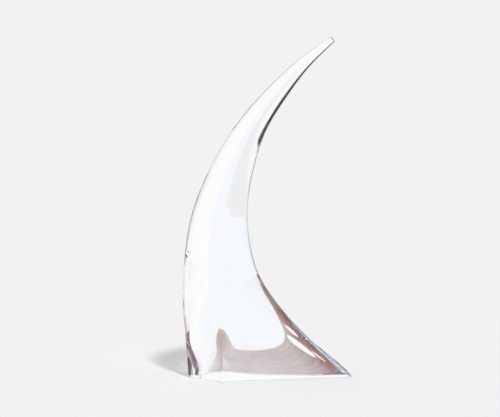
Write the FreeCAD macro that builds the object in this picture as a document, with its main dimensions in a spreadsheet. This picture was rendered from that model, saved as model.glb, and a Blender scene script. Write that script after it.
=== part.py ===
import FreeCAD, Part
import math
import os

import Sketcher

# Sizes of the sculpture, lengths in millimetres and the slope in degrees
SIZES = [
    ("overall_height", 303.6, "foot to the top of the tip"),
    ("lean", 126.9, "how far the tip stands to the right of the foot's left end"),
    ("belly", 5.3, "how far the horn's back swells out to the left of the foot"),
    ("foot_length", 147.3, "ground foot, from its left end to the point of its tail"),
    ("foot_front_depth", 38.0, "crest of the foot in front of the horn's edges"),
    ("back_depth", 24.0, "deepest crest of the horn behind its edges"),
    ("foot_bevel", 0.5, "ground bevel round the foot"),
    ("tip_slope", 51.7, "slope of the sheared end below level, in degrees"),
    ("tip_width", 5.5, "sheared end, along its slope"),
    ("tip_half_depth", 2.6, "half of the sheared end's thickness"),
    ("tip_round", 0.8, "fire polished edge of the sheared end"),
]

# Stations from the foot to the tip. A station is a plane section that starts on the horn's back, which is
# its left edge from the front, and runs to the right along its slope. The shares are, in order: the back
# edge's way along the lean, its swell out of the belly, its way up the height, the slope out of the tip's
# slope, and the width's way from the tip's width to the foot's length.
PROFILE_SHARES = [
    (0.000, 0.00, 0.000, 0.000, 1.000),
    (0.000, 0.14, 0.045, 0.000, 0.903),
    (0.000, 0.36, 0.095, 0.000, 0.781),
    (0.000, 0.64, 0.154, 0.000, 0.661),
    (0.000, 1.00, 0.221, 0.012, 0.558),
    (0.000, 0.86, 0.292, 0.014, 0.453),
    (0.000, 0.48, 0.374, 0.066, 0.385),
    (0.019, 0.00, 0.469, 0.196, 0.329),
    (0.102, 0.00, 0.569, 0.375, 0.267),
    (0.237, 0.00, 0.680, 0.667, 0.207),
    (0.406, 0.00, 0.780, 0.883, 0.138),
    (0.605, 0.00, 0.869, 1.037, 0.087),
    (0.801, 0.00, 0.942, 1.120, 0.040),
    (1.000, 0.00, 1.000, 1.000, 0.000),
]

# Crests of the same stations. The shares are: the crest's place along the width from the back edge, and
# the depth's way from the tip's to the foot's, in front of the edges and behind them.
CREST_SHARES = [
    (0.216, 1.000, 0.953),
    (0.239, 0.878, 0.992),
    (0.284, 0.805, 0.904),
    (0.315, 0.654, 0.922),
    (0.386, 0.470, 0.988),
    (0.405, 0.427, 0.982),
    (0.460, 0.508, 0.841),
    (0.480, 0.472, 0.781),
    (0.500, 0.418, 0.691),
    (0.500, 0.350, 0.580),
    (0.500, 0.266, 0.439),
    (0.500, 0.167, 0.275),
    (0.500, 0.068, 0.112),
    (0.500, 0.000, 0.000),
]

# Fullness of the four curves round a station, from the foot up. The shares are: the handle at the edge and
# the handle at the crest, each out of the way to the corner, and how far the crest stands out as a ridge.
# Low handles make a flat flank, high ones a square shoulder, and stations above a list are round.
ROUND_SHARES = (0.55, 0.55, 0.00)
FRONT_LEFT_SHARES = [
    (0.29, 0.45, 0.80),
    (0.36, 0.32, 0.67),
    (0.36, 0.43, 0.37),
    (0.32, 0.42, 0.19),
    (0.32, 0.35, 0.06),
    (0.41, 0.43, 0.00),
]
FRONT_RIGHT_SHARES = [
    (0.38, 0.05, 0.60),
    (0.50, 0.08, 0.49),
    (0.52, 0.17, 0.31),
    (0.52, 0.49, 0.00),
    (0.73, 0.72, 0.00),
    (0.77, 0.77, 0.00),
    (0.80, 0.80, 0.00),
    (0.70, 0.70, 0.00),
    (0.60, 0.60, 0.00),
]
BACK_LEFT_SHARES = [
    (0.44, 0.32, 0.00),
    (0.42, 0.51, 0.00),
    (0.63, 0.58, 0.00),
    (0.69, 0.58, 0.00),
    (0.72, 0.64, 0.00),
    (0.65, 0.61, 0.00),
]
BACK_RIGHT_SHARES = [
    (0.44, 0.23, 0.01),
    (0.47, 0.26, 0.06),
    (0.77, 0.48, 0.18),
    (0.81, 0.66, 0.12),
    (0.78, 0.65, 0.00),
    (0.76, 0.77, 0.04),
    (0.85, 0.85, 0.00),
    (0.75, 0.75, 0.00),
    (0.60, 0.60, 0.00),
]

# Steps of the rounding at the sheared end
TIP_STEPS = 3

# How a sketch counts a circle's centre, and its own origin
CENTRE = 3
SKETCH_ORIGIN = (-1, 1)

# Stand-ins that the sketch's expressions replace, and the weight of a plain control point
ROUGH_ANGLE = 1.0
ROUGH_LENGTH = 1.0
PLAIN_WEIGHT = 1.0


def make_sizes(doc):
    """The sheet of driving dimensions."""
    sheet = doc.addObject("Spreadsheet::Sheet", "sizes")
    for row, (alias, value, meaning) in enumerate(SIZES, start=1):
        sheet.set(f"A{row}", meaning)
        sheet.set(f"B{row}", str(value))
        sheet.setAlias(f"B{row}", alias)
    doc.recompute()
    return sheet


def between(low, high, share):
    """A size on the way from one named size to another, as an expression."""
    return f"(sizes.{low} + (sizes.{high} - sizes.{low}) * {share})"


def origin_plane(body, role):
    """One of the body's own origin planes."""
    return next(plane for plane in body.Origin.OriginFeatures if plane.Role == role)


def place_station(sketch, index, inset, rise):
    """Put the sketch's origin on the horn's back, with its plane along the station's slope.

    inset moves it along the slope and rise moves it square to the slope, as expressions.
    """
    lean_share, belly_share, height_share, slope_share, _ = PROFILE_SHARES[index]
    slope = f"sizes.tip_slope * {slope_share}"
    from_middle = "(sizes.foot_length - sizes.belly) / 2"
    across = f"sizes.lean * {lean_share} - sizes.belly * {belly_share} - {from_middle}"
    up = f"sizes.foot_bevel + (sizes.overall_height - sizes.foot_bevel) * {height_share}"
    turn = FreeCAD.Rotation(FreeCAD.Vector(0, 1, 0), ROUGH_ANGLE)
    sketch.AttachmentOffset = FreeCAD.Placement(FreeCAD.Vector(), turn)
    offset = {
        "Base.x": f"{across} + {inset} * cos({slope}) + {rise} * sin({slope})",
        "Base.y": "(sizes.foot_front_depth - sizes.back_depth) / 2",
        "Base.z": f"{up} - {inset} * sin({slope}) + {rise} * cos({slope})",
        "Rotation.Angle": slope,
    }
    for name, expression in offset.items():
        sketch.setExpression(f"AttachmentOffset.{name}", expression)


def bind(sketch, name, kind, first, second, expression):
    """Hold two points a named size apart, the second to the right of the first or above it."""
    number = sketch.addConstraint(Sketcher.Constraint(kind, *first, *second, ROUGH_LENGTH))
    sketch.renameConstraint(number, name)
    sketch.setExpression(f"Constraints.{name}", expression)


def add_poles(sketch, curve, poles):
    """Give a curve its control points, all of one weight, as points of the sketch."""
    points = []
    for position, pole in enumerate(poles):
        circle = sketch.addGeometry(Part.Circle(pole, FreeCAD.Vector(0, 0, 1), PLAIN_WEIGHT), True)
        kind = "InternalAlignment:Sketcher::BSplineControlPoint"
        sketch.addConstraint(Sketcher.Constraint(kind, circle, CENTRE, curve, position))
        sketch.addConstraint(Sketcher.Constraint("Weight", circle, PLAIN_WEIGHT))
        points.append((circle, CENTRE))
    return points


def add_quadrant(sketch, name, edge, crest, reach, depth, shares):
    """One curve of a section, which leaves the edge square to the width and ends at the crest.

    edge and crest are rough places; reach and depth are expressions for how far apart they lie.
    Returns the curve's ends, at the edge and at the crest.
    """
    edge_share, crest_share, ridge_share = shares
    edge_handle = FreeCAD.Vector(edge.x, crest.y * edge_share)
    crest_handle = FreeCAD.Vector(crest.x + (edge.x - crest.x) * crest_share, crest.y * (1 - ridge_share))
    poles = [edge, edge_handle, crest_handle, crest]
    spline = Part.BSplineCurve()
    spline.buildFromPoles(poles, False, len(poles) - 1)
    curve = sketch.addGeometry(spline, False)
    at_edge, by_edge, by_crest, at_crest = add_poles(sketch, curve, poles)
    upward = crest.y > edge.y
    rightward = crest.x > edge.x

    sketch.addConstraint(Sketcher.Constraint("Vertical", *at_edge, *by_edge))
    away_from_edge = (at_edge, by_edge) if upward else (by_edge, at_edge)
    bind(sketch, f"{name}_edge_handle", "DistanceY", *away_from_edge, f"{depth} * {edge_share}")
    to_crest = (by_crest, at_crest) if rightward else (at_crest, by_crest)
    bind(sketch, f"{name}_crest_handle", "DistanceX", *to_crest, f"{reach} * {crest_share}")
    if ridge_share:
        ridge_foot = (by_crest, at_crest) if upward else (at_crest, by_crest)
        bind(sketch, f"{name}_ridge", "DistanceY", *ridge_foot, f"{depth} * {ridge_share}")
    else:
        sketch.addConstraint(Sketcher.Constraint("Horizontal", *by_crest, *at_crest))
    return at_edge, at_crest


def make_station(body, name, index, inset="0", rise="0"):
    """A section of the glass through its left edge, front crest, right edge and back crest.

    inset is how far the outline is drawn in all round, and rise is how far it is lifted off its plane.
    """
    sketch = body.newObject("Sketcher::SketchObject", name)
    sketch.AttachmentSupport = [(origin_plane(body, "XY_Plane"), "")]
    sketch.MapMode = "FlatFace"
    place_station(sketch, index, inset, rise)

    crest_share, front_share, back_share = CREST_SHARES[index]
    width = f"({between('tip_width', 'foot_length', PROFILE_SHARES[index][-1])} - 2 * {inset})"
    front_depth = f"({between('tip_half_depth', 'foot_front_depth', front_share)} - {inset})"
    back_depth = f"({between('tip_half_depth', 'back_depth', back_share)} - {inset})"
    left_reach = f"{width} * {crest_share}"
    right_reach = f"{width} * (1 - {crest_share})"

    sheet = body.Document.getObject("sizes")
    rough_width = sheet.tip_width + (sheet.foot_length - sheet.tip_width) * PROFILE_SHARES[index][-1]
    rough_crest = rough_width * crest_share
    left = FreeCAD.Vector(0, 0)
    right = FreeCAD.Vector(rough_width, 0)
    front = FreeCAD.Vector(rough_crest, -sheet.tip_half_depth - sheet.foot_front_depth * front_share)
    back = FreeCAD.Vector(rough_crest, sheet.tip_half_depth + sheet.back_depth * back_share)

    quadrants = [
        ("front_left", left, front, left_reach, front_depth, FRONT_LEFT_SHARES),
        ("front_right", right, front, right_reach, front_depth, FRONT_RIGHT_SHARES),
        ("back_right", right, back, right_reach, back_depth, BACK_RIGHT_SHARES),
        ("back_left", left, back, left_reach, back_depth, BACK_LEFT_SHARES),
    ]
    ends = {}
    for quadrant, edge, crest, reach, depth, table in quadrants:
        shares = table[index] if index < len(table) else ROUND_SHARES
        ends[quadrant] = add_quadrant(sketch, quadrant, edge, crest, reach, depth, shares)

    left_edge, front_crest = ends["front_left"]
    right_edge, back_crest = ends["back_right"]
    meetings = [
        (left_edge, SKETCH_ORIGIN),
        (left_edge, ends["back_left"][0]),
        (front_crest, ends["front_right"][1]),
        (right_edge, ends["front_right"][0]),
        (back_crest, ends["back_left"][1]),
    ]
    for first, second in meetings:
        sketch.addConstraint(Sketcher.Constraint("Coincident", *first, *second))
    sketch.addConstraint(Sketcher.Constraint("Horizontal", *left_edge, *right_edge))
    sketch.addConstraint(Sketcher.Constraint("Vertical", *front_crest, *back_crest))
    bind(sketch, "width", "DistanceX", left_edge, right_edge, width)
    bind(sketch, "crest", "DistanceX", left_edge, front_crest, left_reach)
    bind(sketch, "front_depth", "DistanceY", front_crest, left_edge, front_depth)
    bind(sketch, "back_depth", "DistanceY", left_edge, back_crest, back_depth)
    return sketch


def add_loft(body, name, sections, ruled):
    """Glass drawn through sections, smoothly or straight from each to the next."""
    loft = body.newObject("PartDesign::AdditiveLoft", name)
    loft.Profile = sections[0]
    loft.Sections = sections[1:]
    loft.Ruled = ruled
    loft.Closed = False
    return loft


def make_wave(doc):
    """The whole sculpture: the horn, the bevel round its ground foot and its fire polished tip."""
    body = doc.addObject("PartDesign::Body", "glass_wave")
    stations = [make_station(body, f"station_{index:02d}", index) for index in range(len(PROFILE_SHARES))]
    sole = make_station(body, "sole", 0, "sizes.foot_bevel", "-sizes.foot_bevel")
    tip_index = len(PROFILE_SHARES) - 1
    tip_rings = [stations[-1]]
    for step in range(1, TIP_STEPS + 1):
        angle = math.pi / 2 * step / TIP_STEPS
        inset = f"sizes.tip_round * {1 - math.cos(angle):.4f}"
        rise = f"sizes.tip_round * {math.sin(angle):.4f}"
        tip_rings.append(make_station(body, f"tip_ring_{step}", tip_index, f"({inset})", f"({rise})"))
    doc.recompute()
    add_loft(body, "horn", stations, ruled=False)
    add_loft(body, "foot_bevel", [sole, stations[0]], ruled=True)
    add_loft(body, "tip_rounding", tip_rings, ruled=True)
    doc.recompute()
    return body


def check(doc, bodies):
    """Stop if any object failed, or any sub-part's shape is empty or faulty."""
    for item in doc.Objects:
        if "Invalid" in item.State or "Error" in item.State:
            raise RuntimeError(f"{item.Name} failed: {item.State}")
    for body in bodies:
        if body.Shape.isNull() or not body.Shape.isValid():
            raise RuntimeError(f"{body.Name} has no valid shape")


def main():
    doc = FreeCAD.newDocument("glass_wave_sculpture")
    make_sizes(doc)
    bodies = [make_wave(doc)]
    check(doc, bodies)
    os.makedirs("parts", exist_ok=True)
    for body in bodies:
        body.Shape.exportStep(f"parts/{body.Label}.step")
        print(body.Label, "is", len(body.Shape.Solids), "solid of", round(body.Shape.Volume), "mm3")
        print(body.Shape.BoundBox)


main()
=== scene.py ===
import math

import bmesh
import bpy
import numpy as np
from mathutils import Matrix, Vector


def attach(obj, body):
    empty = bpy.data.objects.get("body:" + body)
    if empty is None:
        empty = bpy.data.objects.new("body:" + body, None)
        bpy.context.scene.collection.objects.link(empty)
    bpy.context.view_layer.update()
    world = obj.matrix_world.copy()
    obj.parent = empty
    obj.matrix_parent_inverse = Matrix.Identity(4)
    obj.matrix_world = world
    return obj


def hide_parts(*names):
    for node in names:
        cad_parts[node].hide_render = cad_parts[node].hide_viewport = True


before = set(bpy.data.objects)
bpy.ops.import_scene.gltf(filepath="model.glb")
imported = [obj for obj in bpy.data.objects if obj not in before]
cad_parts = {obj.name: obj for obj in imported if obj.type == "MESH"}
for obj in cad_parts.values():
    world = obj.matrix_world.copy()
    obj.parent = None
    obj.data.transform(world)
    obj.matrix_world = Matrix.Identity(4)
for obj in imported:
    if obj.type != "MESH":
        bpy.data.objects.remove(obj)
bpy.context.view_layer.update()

# Sizes of the sculpture in metres, and the slope of its sheared end in degrees
OVERALL_HEIGHT = 0.3036
LEAN = 0.1269
BELLY = 0.0053
FOOT_LENGTH = 0.1473
FOOT_FRONT_DEPTH = 0.038
BACK_DEPTH = 0.024
FOOT_BEVEL = 0.0005
TIP_SLOPE = 51.7
TIP_WIDTH = 0.0055
TIP_HALF_DEPTH = 0.0026
TIP_ROUND = 0.0008

# The horn's two edges lie in one upright plane
EDGE_PLANE = (FOOT_FRONT_DEPTH - BACK_DEPTH) / 2

# Stations from the foot to the tip. The shares are: the back edge's way along the lean, its swell out of
# the belly, its way up the height, the slope out of the tip's slope, and the width's way from the tip's
# width to the foot's length.
PROFILE_SHARES = [
    (0.000, 0.00, 0.000, 0.000, 1.000),
    (0.000, 0.14, 0.045, 0.000, 0.903),
    (0.000, 0.36, 0.095, 0.000, 0.781),
    (0.000, 0.64, 0.154, 0.000, 0.661),
    (0.000, 1.00, 0.221, 0.012, 0.558),
    (0.000, 0.86, 0.292, 0.014, 0.453),
    (0.000, 0.48, 0.374, 0.066, 0.385),
    (0.019, 0.00, 0.469, 0.196, 0.329),
    (0.102, 0.00, 0.569, 0.375, 0.267),
    (0.237, 0.00, 0.680, 0.667, 0.207),
    (0.406, 0.00, 0.780, 0.883, 0.138),
    (0.605, 0.00, 0.869, 1.037, 0.087),
    (0.801, 0.00, 0.942, 1.120, 0.040),
    (1.000, 0.00, 1.000, 1.000, 0.000),
]

# Crests of the stations. The shares are: the crest's place along the width from the back edge, and the
# depth's way from the tip's to the foot's, in front of the edges and behind them.
CREST_SHARES = [
    (0.216, 1.000, 0.953),
    (0.239, 0.878, 0.992),
    (0.284, 0.805, 0.904),
    (0.315, 0.654, 0.922),
    (0.386, 0.470, 0.988),
    (0.405, 0.427, 0.982),
    (0.460, 0.508, 0.841),
    (0.480, 0.472, 0.781),
    (0.500, 0.418, 0.691),
    (0.500, 0.350, 0.580),
    (0.500, 0.266, 0.439),
    (0.500, 0.167, 0.275),
    (0.500, 0.068, 0.112),
    (0.500, 0.000, 0.000),
]

# Fullness of the four curves round a station, from the foot up: the handle at the edge and the handle at
# the crest, each out of the way to the corner, and how far the crest stands out as a ridge. Stations
# above a list are round.
ROUND_SHARES = (0.55, 0.55, 0.00)
FRONT_LEFT_SHARES = [
    (0.29, 0.45, 0.80),
    (0.36, 0.32, 0.67),
    (0.36, 0.43, 0.37),
    (0.32, 0.42, 0.19),
    (0.32, 0.35, 0.06),
    (0.41, 0.43, 0.00),
]
FRONT_RIGHT_SHARES = [
    (0.38, 0.05, 0.60),
    (0.50, 0.08, 0.49),
    (0.52, 0.17, 0.31),
    (0.52, 0.49, 0.00),
    (0.73, 0.72, 0.00),
    (0.77, 0.77, 0.00),
    (0.80, 0.80, 0.00),
    (0.70, 0.70, 0.00),
    (0.60, 0.60, 0.00),
]
BACK_LEFT_SHARES = [
    (0.44, 0.32, 0.00),
    (0.42, 0.51, 0.00),
    (0.63, 0.58, 0.00),
    (0.69, 0.58, 0.00),
    (0.72, 0.64, 0.00),
    (0.65, 0.61, 0.00),
]
BACK_RIGHT_SHARES = [
    (0.44, 0.23, 0.01),
    (0.47, 0.26, 0.06),
    (0.77, 0.48, 0.18),
    (0.81, 0.66, 0.12),
    (0.78, 0.65, 0.00),
    (0.76, 0.77, 0.04),
    (0.85, 0.85, 0.00),
    (0.75, 0.75, 0.00),
    (0.60, 0.60, 0.00),
]

# How finely the glass is drawn: rings along the horn, points on each of the four curves of a ring, rings
# round the tip's edge and the foot's bevel, and strips across each flat end
RINGS = 300
QUARTER = 64
EDGE_RINGS = 4
END_STRIPS = 10

# The visible surface is drawn this much smaller than the solid, so that it never stands out of it
SNUG = 0.9998

# The surface's own coordinates: once round the horn, and up along its draw
DRAW = "draw"


def bezier(poles, steps):
    """Points along a cubic, its last one left out."""
    t = np.linspace(0, 1, steps, endpoint=False)[:, None]
    weights = [(1 - t) ** 3, 3 * t * (1 - t) ** 2, 3 * t ** 2 * (1 - t), t ** 3]
    return sum(weight * pole for weight, pole in zip(weights, poles))


def natural_spline(knots, values, at):
    """Smooth values through the knots, straight at both ends."""
    count = len(knots)
    sole_shade = np.diff(knots)
    flat = values.reshape(count, -1)
    rates = np.diff(flat, axis=0) / sole_shade[:, None]
    system = np.eye(count)
    target = np.zeros_like(flat)
    for row in range(1, count - 1):
        system[row, row - 1:row + 2] = sole_shade[row - 1], 2 * (sole_shade[row - 1] + sole_shade[row]), sole_shade[row]
        target[row] = 6 * (rates[row] - rates[row - 1])
    bend = np.linalg.solve(system, target)
    span = np.clip(np.searchsorted(knots, at, side="right") - 1, 0, count - 2)
    width = sole_shade[span][:, None]
    ahead = ((knots[span + 1] - at) / sole_shade[span])[:, None]
    behind = 1 - ahead
    curve = (ahead ** 3 - ahead) * bend[span] + (behind ** 3 - behind) * bend[span + 1]
    result = ahead * flat[span] + behind * flat[span + 1] + curve * width ** 2 / 6
    return result.reshape((len(at),) + values.shape[1:])


def quadrant(edge, crest, shares):
    """A section curve's control points, from an edge to a crest, in the section's own plane."""
    edge_share, crest_share, ridge_share = shares
    edge_handle = (edge[0], crest[1] * edge_share)
    crest_handle = (crest[0] + (edge[0] - crest[0]) * crest_share, crest[1] * (1 - ridge_share))
    return [edge, edge_handle, crest_handle, crest]


def section(index, inset=0.0, rise=0.0):
    """The control points of a station's four curves, in one loop from its left edge.

    inset is how far the outline is drawn in all round, and rise is how far it is lifted off its plane.
    """
    lean_share, belly_share, height_share, slope_share, width_share = PROFILE_SHARES[index]
    crest_share, front_share, back_share = CREST_SHARES[index]
    slope = math.radians(TIP_SLOPE * slope_share)
    width = TIP_WIDTH + (FOOT_LENGTH - TIP_WIDTH) * width_share - 2 * inset
    front_depth = TIP_HALF_DEPTH + (FOOT_FRONT_DEPTH - TIP_HALF_DEPTH) * front_share - inset
    back_depth = TIP_HALF_DEPTH + (BACK_DEPTH - TIP_HALF_DEPTH) * back_share - inset
    left = (0, 0)
    right = (width, 0)
    front = (width * crest_share, -front_depth)
    back = (width * crest_share, back_depth)

    def shares(rows):
        return rows[index] if index < len(rows) else ROUND_SHARES

    loop = [
        quadrant(left, front, shares(FRONT_LEFT_SHARES)),
        quadrant(right, front, shares(FRONT_RIGHT_SHARES))[::-1],
        quadrant(right, back, shares(BACK_RIGHT_SHARES)),
        quadrant(left, back, shares(BACK_LEFT_SHARES))[::-1],
    ]
    plane = np.array(loop, float)
    along = plane[..., 0] + inset
    start_x = LEAN * lean_share - BELLY * belly_share - (FOOT_LENGTH - BELLY) / 2
    start_z = FOOT_BEVEL + (OVERALL_HEIGHT - FOOT_BEVEL) * height_share
    x = start_x + along * math.cos(slope) + rise * math.sin(slope)
    y = EDGE_PLANE + plane[..., 1]
    z = start_z - along * math.sin(slope) + rise * math.cos(slope)
    return np.stack([x, y, z], axis=-1)


def ring(poles):
    """Points once round a section."""
    return np.concatenate([bezier(curve[:, None, :], QUARTER) for curve in poles])


def horn_rings():
    """Rings from the foot's bevel up to the sheared end."""
    stations = np.array([section(index) for index in range(len(PROFILE_SHARES))])
    middles = stations.mean(axis=(1, 2))
    steps = np.linalg.norm(np.diff(middles, axis=0), axis=1)
    knots = np.concatenate([[0], np.cumsum(steps)])
    at = np.linspace(0, knots[-1], RINGS)
    return [ring(poles) for poles in natural_spline(knots, stations, at)]


def edge_rings(index, radius, downward):
    """Rings round a rounded edge, beyond a station, outermost last."""
    rings = []
    for step in range(1, EDGE_RINGS + 1):
        angle = math.pi / 2 * step / EDGE_RINGS
        rise = radius * math.sin(angle) * (-1 if downward else 1)
        rings.append(ring(section(index, radius * (1 - math.cos(angle)), rise)))
    return rings


def add_strips(vertices, faces, loop):
    """Close a flat end with quads, in rows from its front curves to its back ones."""
    half = len(loop) // 2
    fronts = loop[:half + 1]
    backs = [loop[0]] + loop[:half - 1:-1]
    rows = [fronts]
    for strip in range(1, END_STRIPS):
        share = strip / END_STRIPS
        row = [fronts[0]]
        for front, back in zip(fronts[1:-1], backs[1:-1]):
            row.append(len(vertices))
            vertices.append(vertices[front] * (1 - share) + vertices[back] * share)
        rows.append(row + [fronts[-1]])
    rows.append(backs)
    for near, far in zip(rows, rows[1:]):
        for k in range(half):
            corners = [near[k], near[k + 1], far[k + 1], far[k]]
            faces.append(list(dict.fromkeys(corners)))


def add_coordinates(mesh, around, ring_count, side_count):
    """Smooth the skin's faces, and give every corner its place round the horn and along the draw."""
    layer = mesh.uv_layers.new(name=DRAW)
    for number, polygon in enumerate(mesh.polygons):
        on_skin = number < side_count
        polygon.use_smooth = on_skin
        for corner in polygon.loop_indices:
            lap, k = divmod(mesh.loops[corner].vertex_index, around)
            wraps = on_skin and number % around == around - 1 and k == 0
            layer.data[corner].uv = ((around if wraps else k) / around, min(lap / ring_count, 1.0))


def face_outward(mesh):
    """Turn every face of a closed mesh outward."""
    bm = bmesh.new()
    bm.from_mesh(mesh)
    bmesh.ops.recalc_face_normals(bm, faces=bm.faces)
    bm.to_mesh(mesh)
    bm.free()


def make_wave():
    """The sculpture's visible surface, one closed mesh from its sole to its sheared end."""
    sole = edge_rings(0, FOOT_BEVEL, downward=True)
    tip = edge_rings(len(PROFILE_SHARES) - 1, TIP_ROUND, downward=False)
    rings = sole[::-1] + horn_rings() + tip
    around = len(rings[0])
    vertices = [point for points in rings for point in points]
    faces = []
    for low in range(len(rings) - 1):
        for k in range(around):
            here = low * around + k
            beside = low * around + (k + 1) % around
            faces.append([here, beside, beside + around, here + around])
    side_count = len(faces)
    top = (len(rings) - 1) * around
    add_strips(vertices, faces, list(range(around)))
    add_strips(vertices, faces, list(range(top, top + around)))

    mesh = bpy.data.meshes.new("glass_wave_surface")
    mesh.from_pydata([tuple(point * SNUG) for point in vertices], [], faces)
    add_coordinates(mesh, around, len(rings), side_count)
    mesh.update()
    face_outward(mesh)
    wave = bpy.data.objects.new("glass_wave_surface", mesh)
    bpy.context.scene.collection.objects.link(wave)
    return wave


# Node helpers

def add_node(tree, kind, inputs=(), **settings):
    """A node with its settings and its unlinked inputs."""
    node = tree.nodes.new(kind)
    for name, value in settings.items():
        setattr(node, name, value)
    for name, value in dict(inputs).items():
        node.inputs[name].default_value = value
    return node


def new_tree(owner):
    """An empty node tree with its output."""
    owner.use_nodes = True
    tree = owner.node_tree
    tree.nodes.clear()
    kind = "ShaderNodeOutputWorld" if isinstance(owner, bpy.types.World) else "ShaderNodeOutputMaterial"
    return tree, tree.nodes.new(kind)


def math_node(tree, operation, first, second=None, clamp=False):
    """A number worked out from two sockets or values."""
    node = add_node(tree, "ShaderNodeMath", operation=operation, use_clamp=clamp)
    for socket, value in zip(node.inputs, (first, second)):
        if isinstance(value, bpy.types.NodeSocket):
            tree.links.new(value, socket)
        elif value is not None:
            socket.default_value = value
    return node.outputs[0]


def smooth_step(tree, value, low, high):
    """0 up to low, 1 from high on, smooth between; falling where low is the larger."""
    limits = {"From Min": low, "From Max": high}
    node = add_node(tree, "ShaderNodeMapRange", limits, interpolation_type="SMOOTHSTEP")
    tree.links.new(value, node.inputs["Value"])
    return node.outputs["Result"]


def mix_colour(tree, share, first, second):
    """A colour between two, each a socket or a value."""
    node = add_node(tree, "ShaderNodeMix", data_type="RGBA")
    for name, value in (("Factor", share), ("A", first), ("B", second)):
        socket = next(s for s in node.inputs if s.name == name and s.enabled)
        if isinstance(value, bpy.types.NodeSocket):
            tree.links.new(value, socket)
        else:
            socket.default_value = value
    return next(s for s in node.outputs if s.enabled)


def mix_shader(tree, share, first, second):
    """One shader or the other, by a share."""
    node = tree.nodes.new("ShaderNodeMixShader")
    for socket, value in zip(node.inputs, (share, first, second)):
        tree.links.new(value, socket)
    return node.outputs[0]


def product(tree, *values):
    """Several numbers multiplied together."""
    result = values[0]
    for value in values[1:]:
        result = math_node(tree, "MULTIPLY", result, value)
    return result


def within(tree, value, rise, fall):
    """1 between two soft edges, each given as where it starts and where it ends."""
    return product(tree, smooth_step(tree, value, *rise), smooth_step(tree, value, *reversed(fall)))


def split(tree, vector):
    """A vector's three numbers."""
    node = tree.nodes.new("ShaderNodeSeparateXYZ")
    tree.links.new(vector, node.inputs[0])
    return node.outputs


# Clear glass: its index, how often a ray may bounce in it, and the share of light that its shadow keeps

GLASS_IOR = 1.52
GLASS_BOUNCES = 48
SHADOW_PASS = 0.30
CLEAR = (1.0, 1.0, 1.0, 1.0)

# Painted shade and painted reflection where a view grazes the glass, for the camera, on the slope's side and
# on the belly's: a colour at the foot, then the heights in metres where the next colour starts and is full
RIM_PAINTED_PALE = (0.80, 0.79, 0.80, 1.0)
RIM_PAINTED_DARK_HIGH = (0.16, 0.15, 0.17, 1.0)
SLOPE_PAINTED_RIM = (0.46, 0.50, 0.62, 1.0)
SLOPE_PAINTED_RIM_STEPS = [
    (0.085, 0.105, (0.24, 0.26, 0.34, 1.0)),
    (0.112, 0.132, (0.66, 0.68, 0.76, 1.0)),
    (0.158, 0.172, (0.13, 0.14, 0.18, 1.0)),
    (0.215, 0.240, RIM_PAINTED_DARK_HIGH),
]
BELLY_PAINTED_RIM = (0.34, 0.22, 0.20, 1.0)
BELLY_PAINTED_RIM_STEPS = [
    (0.050, 0.062, RIM_PAINTED_PALE),
    (0.095, 0.108, (0.26, 0.21, 0.18, 1.0)),
    (0.158, 0.172, RIM_PAINTED_PALE),
    (0.215, 0.240, RIM_PAINTED_DARK_HIGH),
]

# How softly the two sides meet at a crest, as a cosine
SIDE_BLEND = 0.2

# How much a view has to graze the glass for the painted rim to start and to be full, everywhere and near an
# edge
RIM_GRAZE = (0.86, 0.96)
EDGE_GRAZE = (0.15, 0.40)

# How far from an edge the painted rim near it is gone and is full, out of 1 at a crest
EDGE_REACH = (0.42, 0.22)

# On the slope's side high up, painted shade in a crease: its colour, the heights where it starts and is full,
# where it is gone and full round the horn, the heights where it widens and by how much
CREASE_PAINTED_SHADE = (0.010, 0.010, 0.014, 1.0)
CREASE_START = (0.198, 0.212)
CREASE_REACH = (0.66, 0.44)
CREASE_WIDE = (0.220, 0.255)
CREASE_GROWTH = 0.28

# The sheared end's painted shade: which way the end faces, how far out along that it lies, and the shade's
# colour
END_AXIS = (math.sin(math.radians(TIP_SLOPE)), 0.0, math.cos(math.radians(TIP_SLOPE)))
END_PLACE = (LEAN - (FOOT_LENGTH - BELLY) / 2) * END_AXIS[0] + OVERALL_HEIGHT * END_AXIS[2]
END_PAINTED_SHADE = (0.10, 0.10, 0.11, 1.0)

# The ground foot: how rough it is, how high above the floor it ends, and its grit
GROUND = 0.12
GROUND_TOP = 0.0006
GRIT_TEXTURE = {"Scale": 1500.0, "Detail": 2.0}

# Faint marks along the draw: how many there are round the horn and along it, their noise, and how much they
# bend the light
MARK_COUNTS = (60.0, 2.5, 1.0)
MARK_TEXTURE = {"Scale": 1.0, "Detail": 3.0, "Roughness": 0.5}
MARK_BUMP = {"Strength": 0.02, "Distance": 0.0001}


def banded(tree, value, colour, steps):
    """A colour that changes at each step of a value."""
    for start, full, following in steps:
        colour = mix_colour(tree, smooth_step(tree, value, start, full), colour, following)
    return colour


def sheared_end(tree, place):
    """1 on the sheared end, 0 below its rounded edge."""
    along = add_node(tree, "ShaderNodeVectorMath", operation="DOT_PRODUCT")
    along.inputs[1].default_value = END_AXIS
    tree.links.new(place, along.inputs[0])
    return smooth_step(tree, along.outputs["Value"], END_PLACE - TIP_ROUND, END_PLACE + TIP_ROUND / 2)


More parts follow.
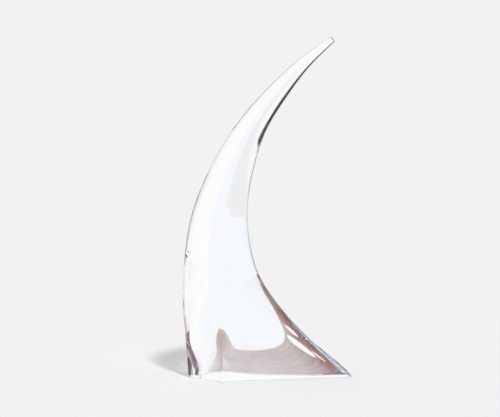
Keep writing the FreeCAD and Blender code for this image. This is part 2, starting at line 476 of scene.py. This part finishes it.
def clear_with_painted_light(tree, place, around):
    """Clear glass, with painted shade and reflection for the camera at its outline, in a crease and on the
    end.
    """
    height = split(tree, place)[2]
    lap = math_node(tree, "MULTIPLY", around, 2 * math.pi)
    off_edge = math_node(tree, "ABSOLUTE", math_node(tree, "SINE", lap))
    slope_side = smooth_step(tree, math_node(tree, "COSINE", lap), SIDE_BLEND, -SIDE_BLEND)
    facing = tree.nodes.new("ShaderNodeLayerWeight").outputs["Facing"]
    grazed = smooth_step(tree, facing, *EDGE_GRAZE)
    edge_rim = product(tree, smooth_step(tree, off_edge, *EDGE_REACH), grazed)
    rim = math_node(tree, "MAXIMUM", smooth_step(tree, facing, *RIM_GRAZE), edge_rim)
    # Painted shade in a crease high on the slope's side, for the camera
    growth = product(tree, smooth_step(tree, height, *CREASE_WIDE), CREASE_GROWTH)
    reach = smooth_step(tree, math_node(tree, "SUBTRACT", off_edge, growth), *CREASE_REACH)
    crease_shade = product(tree, slope_side, smooth_step(tree, height, *CREASE_START), reach, grazed)

    # Painted shade and painted reflection along the outline, by height and side
    slope_painted_shading = banded(tree, height, SLOPE_PAINTED_RIM, SLOPE_PAINTED_RIM_STEPS)
    belly_painted_shading = banded(tree, height, BELLY_PAINTED_RIM, BELLY_PAINTED_RIM_STEPS)
    rim_painted_shading = mix_colour(tree, slope_side, belly_painted_shading, slope_painted_shading)
    camera = tree.nodes.new("ShaderNodeLightPath").outputs["Is Camera Ray"]
    colour = CLEAR
    for share, tint in ((rim, rim_painted_shading), (crease_shade, CREASE_PAINTED_SHADE), (sheared_end(tree, place), END_PAINTED_SHADE)):
        colour = mix_colour(tree, product(tree, share, camera), colour, tint)
    return colour


def draw_marks(tree, draw):
    """Faint marks along the draw, as a bump."""
    stretched = add_node(tree, "ShaderNodeMapping", {"Scale": MARK_COUNTS})
    tree.links.new(draw, stretched.inputs["Vector"])
    marks = add_node(tree, "ShaderNodeTexNoise", MARK_TEXTURE)
    tree.links.new(stretched.outputs[0], marks.inputs["Vector"])
    bump = add_node(tree, "ShaderNodeBump", MARK_BUMP)
    tree.links.new(marks.outputs["Fac"], bump.inputs["Height"])
    return bump.outputs[0]


def make_glass():
    """Clear hot worked glass: fire polished, with faint marks along the draw, a ground foot, and painted
    shade and reflection for the camera.
    """
    material = bpy.data.materials.new("clear_glass")
    tree, output = new_tree(material)
    place = tree.nodes.new("ShaderNodeTexCoord").outputs["Object"]
    draw = add_node(tree, "ShaderNodeUVMap", uv_map=DRAW).outputs[0]
    grit = add_node(tree, "ShaderNodeTexNoise", GRIT_TEXTURE)
    tree.links.new(place, grit.inputs["Vector"])
    low_down = smooth_step(tree, split(tree, place)[2], GROUND_TOP, 0.0)
    rough = product(tree, low_down, grit.outputs["Fac"], GROUND)

    glass = add_node(tree, "ShaderNodeBsdfPrincipled", {"IOR": GLASS_IOR, "Transmission Weight": 1.0})
    tree.links.new(clear_with_painted_light(tree, place, split(tree, draw)[0]), glass.inputs["Base Color"])
    tree.links.new(rough, glass.inputs["Roughness"])
    tree.links.new(draw_marks(tree, draw), glass.inputs["Normal"])
    passed = (SHADOW_PASS, SHADOW_PASS, SHADOW_PASS, 1.0)
    clear = add_node(tree, "ShaderNodeBsdfTransparent", {"Color": passed})
    shadow = tree.nodes.new("ShaderNodeLightPath").outputs["Is Shadow Ray"]
    tree.links.new(mix_shader(tree, shadow, glass.outputs[0], clear.outputs[0]), output.inputs["Surface"])
    return material


# The floor and the world round it. The camera sees an even pale studio. A ray that leaves the glass, or is
# mirrored in it, sees a brown grained patch of floor with white all round, and dark, grey and bluish zones.

BACKDROP = (0.887, 0.887, 0.887, 1.0)
WHITE = (1.0, 1.0, 1.0, 1.0)
COOL_WHITE = (0.935, 0.965, 1.0, 1.0)
SKY_BLUE = (0.84, 0.87, 1.0, 1.0)
OVERHEAD_BLUE = (0.42, 0.49, 0.64, 1.0)
GREY = (0.865, 0.87, 0.875, 1.0)
DARK = (0.012, 0.013, 0.018, 1.0)
GRAIN_LIGHT = (0.44, 0.205, 0.16, 1.0)
GRAIN_DARK = (0.12, 0.03, 0.018, 1.0)
# Painted shade under the foot, and paler streaks in it
SOLE_PAINTED_SHADE = (0.055, 0.030, 0.036, 1.0)
SOLE_SHADE_STREAK = (0.36, 0.27, 0.31, 1.0)
# A painted warm fringe of light along the patch's far edge
WARM_FRINGE_LIGHT = (1.0, 0.80, 0.50, 1.0)
PINK_WHITE = (0.85, 0.72, 0.72, 1.0)

# The floor, in metres: its size, how far below the foot it lies, and how far out it starts to fade into the
# backdrop and has done so
FLOOR_SIZE = 2.7
FLOOR_DROP = 0.0002
FADE = (0.25, 0.58)

# The surround's light on the floor, and the lamp: its strength, its softness, how far from upright it shines
# and how far round
AMBIENT = 0.65
SUN = 1.73
SUN_ANGLE = 0.12
SUN_TILT = math.radians(40)
SUN_TURN = math.radians(20)

# How bright the surround is for rays mirrored on the outside of the glass, against 1 for those through it
MIRROR_LEVEL = 0.45

# The brown patch, in metres: its left, right and front ends, its far edge at the middle and how that edge
# slants, the soft width of its edges, and the painted warm fringe of light along the far one
PATCH_LEFT = -0.135
PATCH_RIGHT = 0.092
PATCH_FRONT = -0.030
PATCH_FAR = 0.172
PATCH_SLANT = 0.38
PATCH_EDGE = 0.002
FRINGE_LIGHT_WIDTH = 0.006

# Close by, the patch reaches further right: by how much, and how far back that is gone and is full
NEAR_EXTRA = 0.10
NEAR_REACH = (0.044, 0.036)

# The grain: the middle of its rings in metres, the factor on distances across the view that stretches it, the
# textures of rings and pores, the rings' part in the figure, and the figure where it is light and dark
KNOT = (0.02, 0.085)
GRAIN_STRETCH = 0.35
RINGS_TEXTURE = {
    "Scale": 46.0, "Distortion": 6.0, "Detail": 4.0, "Detail Scale": 1.0, "Detail Roughness": 0.65,
}
PORES_TEXTURE = {"Scale": 135.0, "Detail": 5.0, "Roughness": 0.7}
RINGS_PART = 0.11
FIGURE_RANGE = (0.28, 0.72)

# The patch's sheen: its colour, and how it follows from the mirrored share of light. It is paler at some
# shares, more so at the left, and paler again towards the patch's left end.
GLOSS_IOR = 1.5
GLOSS_SHEEN = (0.93, 0.96, 1.0, 1.0)
GLOSS_GAIN = 1.6
GLOSS_LOSS = 0.115
PALE_GAIN = 0.20
PALE_RIGHT = 0.35
PALE_START = (-0.015, -0.040)
PALE_LEVEL = ((0.145, 0.175), (0.30, 0.40))
END_PALE = 0.12
END_PALE_START = (-0.060, -0.090)

# Under the foot a painted highlight stands for the shine of its ground sole, up to here. Painted shade shows
# beyond, with paler streaks in it: the pores' noise where they start and are full.
SOLE_SHADE_START = 0.0455
STREAK_RANGE = (0.38, 0.62)

# A painted highlight in a thin line along the shade: where it starts and is full, and its half width where it
# is gone and is full
HIGHLIGHT_LINE_START = (0.050, 0.057)
HIGHLIGHT_LINE_WIDTH = (0.0045, 0.0015)

# Round the patch the floor is a cool white to the left of here. Far off at the left it is grey: where that
# starts in x, and where it starts by the distances back and to the left added up, in metres.
COOL_START = (0.110, 0.050)
FAR_GREY_RIGHT = (-0.250, -0.290)
FAR_GREY_START = (1.40, 1.46)

# Glints on the patch: the directions along and across them, where they start in x and end across, the side
# they are seen from by the mirrored share on a tilted floor, and where an ellipse is clear and is full
GLINT_ALONG = (0.53, -0.85)
GLINT_ACROSS = (0.87, 0.50)
GLINT_START = -0.042
GLINT_END = 0.0555
GLINT_TILT = math.radians(30)
GLINT_SIDE = (0.28, 0.24)
GLINT_EDGE = (1.2, 0.8)

# Each glint's colour, its middle and half length along that direction in metres, and the middle and half
# width of the mirrored share of light, to which the metres along are added
GLINTS = [
    (WHITE, -0.083, 0.053, 0.120, 0.028),
    (WHITE, -0.100, 0.028, 0.045, 0.015),
    (PINK_WHITE, -0.024, 0.017, 0.092, 0.011),
]

# The world's zones in degrees: the soft edge where each rises and the one where it falls, or one of them
# alone. Bearings count to the right of straight ahead, and the dark zone's lower end rises to the left.
DARK_BEARING = ((-90.0, -80.0), (-41.0, -33.0))
DARK_LOW = (2.6, 3.9)
DARK_SLANT = 0.14
DARK_TOP = (40.0, 37.0)
GREY_BEARING = ((-90.0, -80.0), (-8.5, -4.5))
GREY_HEIGHT = ((-6.8, -5.8), (1.0, 6.0))
BLUE_BEARING = ((32.0, 38.0), (52.0, 60.0))
BLUE_HEIGHT = ((-5.0, -3.0), (3.0, 6.0))
COOL_BEARING = ((-60.0, -30.0), (30.0, 44.0))
COOL_TOP = (14.0, 2.0)
OVERHEAD_HEIGHT = ((37.0, 43.0), (75.0, 85.0))


def seen_through(tree):
    """1 for rays that left the glass or a glossy surface, 0 for the camera's own and for light."""
    rays = tree.nodes.new("ShaderNodeLightPath").outputs
    return math_node(tree, "ADD", rays["Is Transmission Ray"], rays["Is Glossy Ray"], clamp=True)


def seen_level(tree):
    """How bright the surround is: full for rays that came through the glass, less for mirrored ones."""
    bent = tree.nodes.new("ShaderNodeLightPath").outputs["Is Transmission Ray"]
    return math_node(tree, "ADD", math_node(tree, "MULTIPLY", bent, 1 - MIRROR_LEVEL), MIRROR_LEVEL)


def slanted(tree, x, y, direction):
    """How far a place on the floor lies along a direction."""
    across = math_node(tree, "MULTIPLY", x, direction[0])
    return math_node(tree, "ADD", across, math_node(tree, "MULTIPLY", y, direction[1]))


def patch_shape(tree, x, y):
    """1 on the brown patch, and 1 on the painted fringe of light along its far edge."""
    extra = product(tree, smooth_step(tree, y, *NEAR_REACH), NEAR_EXTRA)
    across = product(
        tree, smooth_step(tree, x, PATCH_LEFT, PATCH_LEFT + PATCH_EDGE),
        smooth_step(tree, math_node(tree, "SUBTRACT", x, extra), PATCH_RIGHT, PATCH_RIGHT - PATCH_EDGE))
    reach = slanted(tree, x, y, (-PATCH_SLANT, 1))
    front = (PATCH_FRONT, PATCH_FRONT + PATCH_EDGE)
    far = (PATCH_FAR - PATCH_EDGE, PATCH_FAR)
    patch = product(tree, across, within(tree, reach, front, far))
    rim = product(tree, across, within(tree, reach, far, (PATCH_FAR, PATCH_FAR + FRINGE_LIGHT_WIDTH)))
    return patch, rim


def grain(tree, x, y):
    """The patch's grained brown, and the noise of its pores."""
    stretched = tree.nodes.new("ShaderNodeCombineXYZ")
    from_knot = math_node(tree, "SUBTRACT", x, KNOT[0])
    tree.links.new(math_node(tree, "MULTIPLY", from_knot, GRAIN_STRETCH), stretched.inputs["X"])
    tree.links.new(math_node(tree, "SUBTRACT", y, KNOT[1]), stretched.inputs["Y"])
    rings = add_node(tree, "ShaderNodeTexWave", RINGS_TEXTURE, wave_type="RINGS", rings_direction="Z")
    pores = add_node(tree, "ShaderNodeTexNoise", PORES_TEXTURE)
    for texture in (rings, pores):
        tree.links.new(stretched.outputs[0], texture.inputs["Vector"])
    rings_part = math_node(tree, "MULTIPLY", rings.outputs["Fac"], RINGS_PART)
    pores_part = math_node(tree, "MULTIPLY", pores.outputs["Fac"], 1 - RINGS_PART)
    figure = smooth_step(tree, math_node(tree, "ADD", rings_part, pores_part), *FIGURE_RANGE)
    return mix_colour(tree, figure, GRAIN_LIGHT, GRAIN_DARK), pores.outputs["Fac"]


def sheen(tree, x, gloss):
    """How much the patch shows of its sheen, from the mirrored share of light."""
    mirrored = math_node(tree, "SUBTRACT", math_node(tree, "MULTIPLY", gloss, GLOSS_GAIN), GLOSS_LOSS)
    left_part = product(tree, smooth_step(tree, x, *PALE_START), 1 - PALE_RIGHT)
    left_part = math_node(tree, "ADD", left_part, PALE_RIGHT)
    paler = product(tree, left_part, within(tree, gloss, *PALE_LEVEL), PALE_GAIN)
    end_paler = product(tree, smooth_step(tree, x, *END_PALE_START), END_PALE)
    return math_node(tree, "ADD", math_node(tree, "ADD", mirrored, paler), end_paler)


def under_foot(tree, x, y, pores):
    """1 under the foot, and the painted highlight and painted shade that show there."""
    half = FOOT_LENGTH / 2
    under = product(
        tree, within(tree, x, (-half, -half + PATCH_EDGE), (half - PATCH_EDGE, half)),
        within(tree, y, (-BACK_DEPTH, -BACK_DEPTH + PATCH_EDGE), (BACK_DEPTH - PATCH_EDGE, BACK_DEPTH)))
    # A painted highlight where the ground sole shines, and painted shade beyond it
    sole_shade = mix_colour(tree, smooth_step(tree, pores, *STREAK_RANGE), SOLE_PAINTED_SHADE, SOLE_SHADE_STREAK)
    colour = mix_colour(tree, smooth_step(tree, x, SOLE_SHADE_START, SOLE_SHADE_START + PATCH_EDGE), WHITE, sole_shade)
    # A painted highlight in a thin line along the shade under the foot
    off_highlight_line = math_node(tree, "ABSOLUTE", y)
    highlight_line = product(tree, smooth_step(tree, x, *HIGHLIGHT_LINE_START), smooth_step(tree, off_highlight_line, *HIGHLIGHT_LINE_WIDTH))
    return under, mix_colour(tree, highlight_line, colour, COOL_WHITE)


def with_glints(tree, x, y, gloss, colour):
    """A colour with the patch's glints over it."""
    along = slanted(tree, x, y, GLINT_ALONG)
    aside = slanted(tree, x, y, GLINT_ACROSS)
    tilt = add_node(tree, "ShaderNodeCombineXYZ", {"X": math.sin(GLINT_TILT), "Z": math.cos(GLINT_TILT)})
    tilted = add_node(tree, "ShaderNodeFresnel", {"IOR": GLOSS_IOR})
    tree.links.new(tilt.outputs[0], tilted.inputs["Normal"])
    lit = product(
        tree, smooth_step(tree, x, GLINT_START, GLINT_START + PATCH_EDGE),
        smooth_step(tree, aside, GLINT_END + PATCH_EDGE, GLINT_END),
        smooth_step(tree, tilted.outputs[0], *GLINT_SIDE))
    level = math_node(tree, "ADD", gloss, along)
    for glint_colour, middle, half_length, middle_level, half_level in GLINTS:
        squares = []
        for value, centre, half in ((along, middle, half_length), (level, middle_level, half_level)):
            part = math_node(tree, "DIVIDE", math_node(tree, "SUBTRACT", value, centre), half)
            squares.append(math_node(tree, "POWER", part, 2.0))
        glint = smooth_step(tree, math_node(tree, "ADD", *squares), *GLINT_EDGE)
        colour = mix_colour(tree, product(tree, glint, lit), colour, glint_colour)
    return colour


def floor_colour(tree, position):
    """The brown patch with its painted sheen, glints, fringe and shade under the foot, and what lies round
    it.
    """
    x, y, _ = split(tree, position)
    patch, rim = patch_shape(tree, x, y)
    brown, pores = grain(tree, x, y)
    gloss = add_node(tree, "ShaderNodeFresnel", {"IOR": GLOSS_IOR}).outputs[0]
    brown = mix_colour(tree, sheen(tree, x, gloss), brown, GLOSS_SHEEN)
    under, under_foot_painted = under_foot(tree, x, y, pores)
    brown = mix_colour(tree, under, brown, under_foot_painted)
    brown = with_glints(tree, x, y, gloss, brown)

    beyond = mix_colour(tree, smooth_step(tree, x, *COOL_START), WHITE, COOL_WHITE)
    far_left = slanted(tree, x, y, (-1, 1))
    far_grey = product(
        tree, smooth_step(tree, x, *FAR_GREY_RIGHT), smooth_step(tree, far_left, *FAR_GREY_START))
    beyond = mix_colour(tree, far_grey, beyond, GREY)
    return mix_colour(tree, rim, mix_colour(tree, patch, beyond, brown), WARM_FRINGE_LIGHT)


def make_floor():
    """A pale floor, and what the glass bends into view of it."""
    bpy.ops.mesh.primitive_plane_add(size=FLOOR_SIZE, location=(0, 0, -FLOOR_DROP))
    floor = bpy.context.object
    floor.name = "stage_floor"
    material = bpy.data.materials.new("stage_floor")
    tree, output = new_tree(material)
    place = tree.nodes.new("ShaderNodeNewGeometry").outputs["Position"]
    through = tree.nodes.new("ShaderNodeEmission")
    tree.links.new(floor_colour(tree, place), through.inputs["Color"])
    tree.links.new(seen_level(tree), through.inputs["Strength"])

    length = add_node(tree, "ShaderNodeVectorMath", operation="LENGTH")
    tree.links.new(place, length.inputs[0])
    far_off = smooth_step(tree, length.outputs["Value"], *FADE)
    plain = add_node(tree, "ShaderNodeBsdfDiffuse", {"Color": BACKDROP})
    faded = add_node(tree, "ShaderNodeEmission", {"Color": BACKDROP})
    pale = mix_shader(tree, far_off, plain.outputs[0], faded.outputs[0])
    tree.links.new(mix_shader(tree, seen_through(tree), pale, through.outputs[0]), output.inputs["Surface"])
    floor.data.materials.append(material)


def zone_colours(tree, direction):
    """The colour of the world round the glass, by bearing and height."""
    x, y, z = split(tree, direction)
    bearing = math_node(tree, "DEGREES", math_node(tree, "ARCTAN2", x, y))
    height = math_node(tree, "DEGREES", math_node(tree, "ARCSINE", z))
    rising = math_node(tree, "ADD", height, math_node(tree, "MULTIPLY", bearing, DARK_SLANT))
    dark = product(
        tree, within(tree, bearing, *DARK_BEARING), smooth_step(tree, rising, *DARK_LOW),
        smooth_step(tree, height, *DARK_TOP))
    grey = product(tree, within(tree, bearing, *GREY_BEARING), within(tree, height, *GREY_HEIGHT))
    blue = product(tree, within(tree, bearing, *BLUE_BEARING), within(tree, height, *BLUE_HEIGHT))
    cool = product(tree, within(tree, bearing, *COOL_BEARING), smooth_step(tree, height, *COOL_TOP))
    overhead = within(tree, height, *OVERHEAD_HEIGHT)
    zones = [
        (cool, COOL_WHITE), (grey, GREY), (blue, SKY_BLUE), (overhead, OVERHEAD_BLUE), (dark, DARK),
    ]
    colour = WHITE
    for share, zone_colour in zones:
        colour = mix_colour(tree, share, colour, zone_colour)
    return colour


def make_world():
    """An even pale surround; through the glass, a white one with its zones."""
    world = bpy.data.worlds.new("studio")
    bpy.context.scene.world = world
    tree, output = new_tree(world)
    pale = add_node(tree, "ShaderNodeBackground", {"Color": BACKDROP})
    camera = tree.nodes.new("ShaderNodeLightPath").outputs["Is Camera Ray"]
    level = math_node(tree, "ADD", math_node(tree, "MULTIPLY", camera, 1 - AMBIENT), AMBIENT)
    tree.links.new(level, pale.inputs["Strength"])
    around = tree.nodes.new("ShaderNodeBackground")
    direction = tree.nodes.new("ShaderNodeTexCoord").outputs["Generated"]
    tree.links.new(zone_colours(tree, direction), around.inputs["Color"])
    tree.links.new(seen_level(tree), around.inputs["Strength"])
    mixed = mix_shader(tree, seen_through(tree), pale.outputs[0], around.outputs[0])
    tree.links.new(mixed, output.inputs["Surface"])


def make_lights():
    """One lamp from above, in front and a little to the right, for the shadow."""
    sun = bpy.data.lights.new("key", "SUN")
    sun.energy = SUN
    sun.angle = SUN_ANGLE
    lamp = bpy.data.objects.new("key", sun)
    lamp.rotation_euler = (SUN_TILT, 0, SUN_TURN)
    bpy.context.scene.collection.objects.link(lamp)


# The camera, from the photograph's frame: its width in pixels, its middle, and the pixel where the part's
# origin lies

FRAME_WIDTH = 500
MIDDLE = (250.0, 208.5)
ORIGIN_PIXEL = (267.5, 377.3)

# A pixel's size at the sculpture, how far above level the camera looks from, its distance in metres and the
# width of its sensor in millimetres
METRES_PER_PIXEL = 0.000893
CAMERA_RISE = math.radians(3.2)
CAMERA_DISTANCE = 1.6
SENSOR_WIDTH = 36.0


def make_camera():
    """The photograph's view, a little above level."""
    across = (MIDDLE[0] - ORIGIN_PIXEL[0]) * METRES_PER_PIXEL
    up = (ORIGIN_PIXEL[1] - MIDDLE[1]) * METRES_PER_PIXEL / math.cos(CAMERA_RISE)
    target = Vector((across, EDGE_PLANE, up))
    back = Vector((0, -math.cos(CAMERA_RISE), math.sin(CAMERA_RISE)))
    data = bpy.data.cameras.new("camera")
    data.sensor_width = SENSOR_WIDTH
    data.lens = SENSOR_WIDTH * CAMERA_DISTANCE / (FRAME_WIDTH * METRES_PER_PIXEL)
    camera = bpy.data.objects.new("camera", data)
    camera.location = target + back * CAMERA_DISTANCE
    camera.rotation_euler = (-back).to_track_quat("-Z", "Y").to_euler()
    bpy.context.scene.collection.objects.link(camera)
    bpy.context.scene.camera = camera


wave = make_wave()
wave.data.materials.append(make_glass())
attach(wave, "root")
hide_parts("glass_wave")

make_floor()
make_world()
make_lights()
make_camera()
bpy.context.scene.view_settings.view_transform = "Standard"
for kind in ("max_bounces", "glossy_bounces", "transmission_bounces"):
    setattr(bpy.context.scene.cycles, kind, GLASS_BOUNCES)
